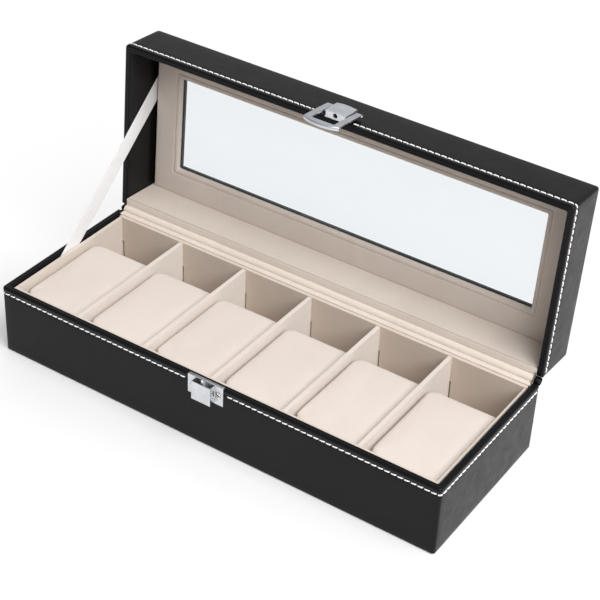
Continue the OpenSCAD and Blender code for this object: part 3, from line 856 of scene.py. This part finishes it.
verts, faces = loft(frame_rings(), True)
settle(from_lists("lid_lining_padded", verts, faces, PANEL_PAINTED_SHADE, OPEN, 50.0), "lid", "lining_beige", "lid_lining_panel")
ob = card("lid_rear_lining_padded", [(49.1, 47.15), (50.5, 47.15), (50.5, 74.5), (49.1, 74.5)], -145.4, 145.4, [(lambda m, w: abs(m.z - 47.15) < 0.05 and abs(w.x) > 0.9 and m.y < 49.5, 0.7, 5)], LINING, OPEN)
settle(ob, "lid", "lining_beige", "lid_rear_lining")
refined("window_pane", "window_pane_clear", PANE, "lid", "pane_clear", 0.08, 2)
for name, o in nodes.items():
    if name.endswith("_board") or name == "lid_top_frame":
        o.data.materials.clear()
        o.data.materials.append(SPINE if name == "lid_top_frame" or "_rear_" in name or "_left_" in name or "_right_" in name else BOARD)


# ---------------------------------------------------------------- catch
refined("keeper_plate", "keeper_plate_metal", CHROME, "base", "metal_bright", 0.12, 2)
refined("hasp_screws", "hasp_screw_heads", SCREW, "lid", "metal_bright", 0.12, 2)


def hard_edges(bm, radius, segments, limit=42.0):
    hard = [e for e in bm.edges if len(e.link_faces) == 2 and e.calc_face_angle(0) > math.radians(limit)]
    bmesh.ops.bevel(bm, geom=hard, offset=radius * MM, offset_type="OFFSET", segments=segments, profile=0.5, affect="EDGES", clamp_overlap=True)


def shell(name, rows, cells, mat, place, radius, segments=3):
    """A plate of sheet metal. rows[i][j] is a pair of points, one on each face, and cells are the (i, j) squares that are metal."""
    bm = bmesh.new()
    made = {}

    def vert(i, j, side):
        key = (i, j, side)
        if key not in made:
            made[key] = bm.verts.new(Vector(rows[i][j][side]) * MM)
        return made[key]

    edges = {}
    for i, j in cells:
        loop = [(i, j), (i + 1, j), (i + 1, j + 1), (i, j + 1)]
        bm.faces.new([vert(*c, 0) for c in loop])
        bm.faces.new([vert(*c, 1) for c in loop[::-1]])
        for a, b in zip(loop, loop[1:] + loop[:1]):
            edges[(a, b)] = True
    for a, b in edges:
        if (b, a) not in edges:
            bm.faces.new([vert(*b, 0), vert(*a, 0), vert(*a, 1), vert(*b, 1)])
    hard_edges(bm, radius, segments)
    return from_bm(name, bm, mat, place, 40.0)


def joined(name, parts, mat):
    """Several pieces as one."""
    bm = bmesh.new()
    for ob in parts:
        bm.from_mesh(ob.data)
        old = ob.data
        bpy.data.objects.remove(ob)
        bpy.data.meshes.remove(old)
    return from_bm(name, bm, mat, None, 40.0)


# the bracket: a leaf on the wall, a domed cover over it and the knuckle that holds the pin
rows = []
for z in steps(46.5, 58.8, 1.5):
    row = []
    for x in steps(-6.9, 6.9, 1.15):
        y = HASP_Y - 2.75 + 40.0 - math.sqrt(1600.0 - x * x)
        row.append(((x, y, z), (x, y + 0.7, z)))
    rows.append(row)
cover = shell("cover", rows, [(i, j) for i in range(len(rows) - 1) for j in range(len(rows[0]) - 1)], SATIN, OPEN, 0.16)
rows = []
for a in steps(0.0, 180.0, 12.0):
    c, d = math.cos(math.radians(a)), math.sin(math.radians(a))
    rows.append([((x, HASP_Y + 2.15 * c, HASP_Z + 2.15 * d), (x, HASP_Y + 1.45 * c, HASP_Z + 1.45 * d)) for x in steps(-6.9, 6.9, 2.3)])
knuckle = shell("knuckle", rows, [(i, j) for i in range(len(rows) - 1) for j in range(len(rows[0]) - 1)], SATIN, OPEN, 0.12, 2)
wall_leaf = card("wall_leaf", [(-55.7, 46.8), (-55.0, 46.8), (-55.0, 56.5), (-55.7, 56.5)], -6.86, 6.86, [(lambda m, w: m.y < -55.6, 0.14, 2)], SATIN, OPEN)
settle(joined("hasp_bracket_metal", [cover, knuckle, wall_leaf], SATIN), "lid", "metal_bright", "hasp_bracket")

# plate that closes the cover's front end, with a round hole
mid_y, hole_r = -57.45, 1.5
x0, x1, y0, y1 = -6.3, 6.3, -59.22, -55.68
turns = sorted({round(math.atan2(y - mid_y, x), 6) for x in (x0, x1) for y in (y0, y1)} | {round(-math.pi + 2 * math.pi * i / 36, 6) for i in range(36)})
bm = bmesh.new()
outer, inner = [], []
for z in (46.55, 47.05):
    ring_o, ring_i = [], []
    for a in turns:
        c, d = math.cos(a), math.sin(a)
        reach = min((x1 if c > 0 else x0) / c if abs(c) > 1e-6 else 1e9, ((y1 if d > 0 else y0) - mid_y) / d if abs(d) > 1e-6 else 1e9)
        ring_o.append(bm.verts.new(Vector((reach * c, mid_y + reach * d, z)) * MM))
        ring_i.append(bm.verts.new(Vector((hole_r * c, mid_y + hole_r * d, z)) * MM))
    outer.append(ring_o)
    inner.append(ring_i)
n = len(turns)
for i in range(n):
    k = (i + 1) % n
    bm.faces.new((outer[0][i], outer[0][k], inner[0][k], inner[0][i]))
    bm.faces.new((outer[1][k], outer[1][i], inner[1][i], inner[1][k]))
    bm.faces.new((outer[0][k], outer[0][i], outer[1][i], outer[1][k]))
    bm.faces.new((inner[0][i], inner[0][k], inner[1][k], inner[1][i]))
bmesh.ops.recalc_face_normals(bm, faces=bm.faces)
hard_edges(bm, 0.08, 2)
settle(from_bm("hasp_end_plate", bm, BRIGHT, OPEN, 40.0), "lid", "metal_bright")
# a black plug behind the plate's hole: painted shade, so the hole reads dark
rings = [[(r * math.cos(2 * math.pi * j / 24), mid_y + r * math.sin(2 * math.pi * j / 24), z) for j in range(24)] for r, z in ((1.4, 48.4), (1.6, 48.46), (1.68, 48.56), (1.68, 49.2), (1.5, 49.3))]
verts, faces = loft(rings)
settle(from_lists("hasp_end_plate_bore_painted_shade", verts, faces, SPINE, OPEN, 50.0), "lid", "leather_black")


# the hasp: arms rolled round the pin, a bowed bar, and a lip turned down along its front edge
half_w, slot_w, bar_from, roll_r, bend_r, lip_t = 11.75, 7.7, 23.6, 1.25, 0.9, 0.75


def hasp_rows():
    xs = steps(-half_w, -slot_w, 1.2) + steps(-slot_w, slot_w, 1.2)[1:] + steps(slot_w, half_w, 1.2)[1:]
    path = []
    for a in (250, 225, 200, 175, 150, 125, 100, 75, 50, 25):
        t = math.radians(a)
        path.append(("roll", -math.sin(t), -math.cos(t)))
    path += [("arm", d, 0) for d in steps(0.0, bar_from, 1.8)]
    path += [("bar", f, 0) for f in (0.2, 0.4, 0.6, 0.8, 1.0)]
    path += [("bend", a, 0) for a in (22.5, 45, 67.5, 90)]
    path += [("lip", d, 0) for d in (0.5, 1.0, 1.45)]
    rows, kinds = [], []
    for kind, a, b in path:
        row = []
        for x in xs:
            front = 3.8 + math.sqrt(24.0 ** 2 - x * x)
            crown = 0.10 * (1 - (x / half_w) ** 2)
            if kind == "roll":
                o, n, t = (a * roll_r, b * roll_r), (a, b), 0.42
            elif kind == "arm":
                o, n, t = (a, -roll_r), (0, -1), 0.42 + 0.48 * min(1.0, a / 4.0)
            elif kind == "bar":
                o, n, t = (bar_from + (front - bend_r - bar_from) * a, -roll_r - crown * a), (0, -1), 0.9 - (0.9 - lip_t) * a
            elif kind == "bend":
                r = math.radians(a)
                o, n, t = (front - bend_r + bend_r * math.sin(r), -roll_r - crown + bend_r - bend_r * math.cos(r)), (math.sin(r), -math.cos(r)), lip_t
            else:
                o, n, t = (front - 0.12 * a, -roll_r - crown + bend_r + a), (1, 0), lip_t
            sag = HASP_Y + 0.7 * max(0.0, o[0] / 27.0) ** 2
            outer = (x, sag + o[1], HASP_Z - o[0])
            inner = (x, sag + o[1] - n[1] * t, HASP_Z - o[0] + n[0] * t)
            row.append((outer, inner))
        rows.append(row)
        kinds.append(kind)
    cells = []
    for i in range(len(rows) - 1):
        for j in range(len(xs) - 1):
            if abs(xs[j] + xs[j + 1]) / 2 > slot_w or (kinds[i + 1] not in ("roll", "arm")):
                cells.append((i, j))
    return rows, cells


rows, cells = hasp_rows()
settle(shell("hasp_frame_metal", rows, cells, METAL, LIFT, 0.16), "hasp", "metal_bright", "hasp")


def turned(profile, axis, sides=28):
    """A turned piece: (radius, distance along y) points round an axis at (x, z), closed at both ends."""
    verts, faces = [], []
    for r, y in profile:
        verts += [(axis[0] + r * math.cos(2 * math.pi * j / sides), y, axis[1] + r * math.sin(2 * math.pi * j / sides)) for j in range(sides)]
    for i in range(len(profile) - 1):
        faces += [(i * sides + j, i * sides + (j + 1) % sides, (i + 1) * sides + (j + 1) % sides, (i + 1) * sides + j) for j in range(sides)]
    last = (len(profile) - 1) * sides
    faces += [tuple(range(sides - 1, -1, -1)), tuple(last + j for j in range(sides))]
    return verts, faces


# pin with domed ends
rings = []
for x in [-12.1, -12.05, -11.9, -11.6] + steps(-11.2, 11.2, 2.8) + [11.6, 11.9, 12.05, 12.1]:
    d = 12.1 - abs(x)
    r = 0.80 * math.sqrt(max(0.05, 1 - max(0.0, 1 - d / 0.7) ** 2))
    rings.append([(x, HASP_Y + r * math.cos(2 * math.pi * j / 20), HASP_Z + r * math.sin(2 * math.pi * j / 20)) for j in range(20)])
verts, faces = loft(rings)
settle(from_lists("hasp_pin_metal", verts, faces, METAL, OPEN, 50.0), "lid", "metal_bright", "hasp_pin")

# hollow rivets: a rolled collar round a deep bore
collar = [(0.75, -53.4), (0.75, -54.6), (0.75, -55.6), (0.79, -55.82), (0.86, -55.95), (0.98, -56.0), (1.10, -55.97), (1.24, -55.86), (1.35, -55.68), (1.38, -55.5), (1.2, -55.48), (0.9, -55.45), (0.9, -53.0), (0.9, -50.85)]
verts, faces = [], []
for s in (-1, 1):
    v, f = turned(collar, (s * 8.9, 40.0))
    faces += [tuple(i + len(verts) for i in q) for q in f]
    verts += v
settle(from_lists("keeper_rivet_heads", verts, faces, SCREW, None, 50.0), "base", "metal_bright", "keeper_screws")

# dark plugs at the ends of the bores: painted shade, black leather standing in for the shade inside the bores
plug = [(0.3, -53.3), (0.77, -53.4), (0.77, -55.3), (0.7, -55.45), (0.35, -55.5), (0.1, -55.5)]
verts, faces = [], []
for s in (-1, 1):
    v, f = turned(plug, (s * 8.9, 40.0))
    faces += [tuple(i + len(verts) for i in q) for q in f]
    verts += v
settle(from_lists("keeper_rivet_bores_painted_shade", verts, faces, SPINE, None, 50.0), "base", "leather_black")

# keeper block: a thin box open at its top, with a rounded mouth
bm = bmesh.new()
outer_r, wall, b_front, b_back, b_low, b_top = 6.5, 0.5, -60.0, -55.5, 33.9, 46.2
loops = []
for x, y, z in ((outer_r, b_front, b_low), (outer_r, b_front, b_top), (outer_r - wall, b_front + wall, b_top), (outer_r - wall, b_front + wall, b_low + wall)):
    loops.append([bm.verts.new(Vector(c) * MM) for c in ((-x, b_back, z), (-x, y, z), (x, y, z), (x, b_back, z))])
for a, b in zip(loops, loops[1:]):
    for j in range(3):
        bm.faces.new((a[j], a[j + 1], b[j + 1], b[j]))
bm.faces.new(loops[0])
bm.faces.new(loops[3])
bm.faces.new([l[0] for l in loops])
bm.faces.new([l[3] for l in loops])
bm.faces.new((loops[0][0], loops[0][3], loops[3][3], loops[3][0]))
bmesh.ops.recalc_face_normals(bm, faces=bm.faces)
hard_edges(bm, 0.18, 3)
settle(from_bm("keeper_block_metal", bm, CHROME, None, 40.0), "base", "metal_bright", "keeper_block")

# leaf spring: a foot, a rising leaf and a hooked tip that stands up into the plate's hole
leaf = [(-55.75, 35.0), (-56.3, 35.0), (-56.85, 35.1), (-57.12, 35.5), (-57.2, 36.3), (-57.15, 38.5), (-57.1, 41.0), (-57.05, 43.2), (-57.0, 45.0), (-57.0, 46.2), (-57.0, 46.9), (-57.1, 47.25), (-57.35, 47.42), (-57.65, 47.42), (-57.92, 47.3), (-58.1, 47.0), (-58.15, 46.5), (-58.15, 45.8)]
rows = []
for i, (y, z) in enumerate(leaf):
    a, b = leaf[max(0, i - 1)], leaf[min(len(leaf) - 1, i + 1)]
    t = Vector((b[0] - a[0], b[1] - a[1])).normalized()
    row = []
    for x in steps(-0.95, 0.95, 0.38):
        bow = 0.26 * (1 - (x / 0.95) ** 2)
        row.append(((x, y - t.y * (0.2 + bow), z + t.x * (0.2 + bow)), (x, y + t.y * (0.2 - bow), z - t.x * (0.2 - bow))))
    rows.append(row)
cells = [(i, j) for i in range(len(rows) - 1) for j in range(len(rows[0]) - 1)]
settle(shell("catch_spring_leaf", rows, cells, BRIGHT, None, 0.08, 2), "catch_spring", "metal_bright", "catch_spring")


# ---------------------------------------------------------------- floor and light
bm = bmesh.new()
bmesh.ops.create_grid(bm, x_segments=8, y_segments=8, size=4.0)
for v in bm.verts:
    v.co.z = -0.0003
floor_m = Mat("studio_floor")
across = floor_m.add("SeparateXYZ")
floor_m.link(floor_m.coord, across.inputs[0])
# a matt sheet in front of the box runs into a glowing sheet behind it: painted light, the glow fills in the box's
# shadow behind it
behind = floor_m.math("ADD", floor_m.span(across.outputs["Y"], 0.0, 1.0, -0.075, 0.03), floor_m.span(floor_m.noise(3.0, 2), -0.01, 0.01))
floor_m.colour(floor_m.ramp(behind, (0.0, (0.780, 0.780, 0.783)), (1.0, (0.220, 0.220, 0.222))))
floor_m.link(floor_m.span(behind, 0.0, 0.735, 0.0, 1.0), floor_m.b.inputs["Emission Strength"])
floor_m.roughness(floor_m.span(floor_m.noise(40.0, 3), 0.6, 0.7))
floor_m.set(Specular_IOR_Level=0.2, Emission_Color=(1.0, 1.0, 1.0, 1.0))
floor = from_bm("studio_floor", bm, floor_m.m, None, 180.0)

world = bpy.data.worlds.new("studio")
world.use_nodes = True
scene.world = world
back = next(n for n in world.node_tree.nodes if n.type == "BACKGROUND")
back.inputs["Color"].default_value = (1.0, 1.0, 1.0, 1.0)
wn = world.node_tree
part = wn.nodes.new("ShaderNodeSeparateXYZ")
wn.links.new(wn.nodes.new("ShaderNodeTexCoord").outputs["Generated"], part.inputs[0])
level = wn.nodes.new("ShaderNodeMapRange")
level.interpolation_type = "SMOOTHSTEP"
for key, value in (("From Min", -0.6), ("From Max", 0.6), ("To Min", 0.30), ("To Max", 0.60)):
    level.inputs[key].default_value = value
wn.links.new(part.outputs["Y"], level.inputs["Value"])
wn.links.new(level.outputs["Result"], back.inputs["Strength"])


def softbox(name, at, aim, size, power, colour=(1.0, 1.0, 1.0)):
    data = bpy.data.lights.new(name, "AREA")
    data.shape, data.size, data.size_y = "RECTANGLE", size[0], size[1]
    data.energy, data.color = power, colour
    ob = bpy.data.objects.new(name, data)
    scene.collection.objects.link(ob)
    ob.location = at
    ob.rotation_mode = "QUATERNION"
    ob.rotation_quaternion = (Vector(aim) - Vector(at)).to_track_quat("-Z", "Y")
    return ob


softbox("softbox_key", (1.88, -0.82, 2.42), (0.0, 0.0, 0.05), (2.6, 2.6), 150.0)
scene.view_settings.view_transform = "Standard"
scene.view_settings.look = "None"
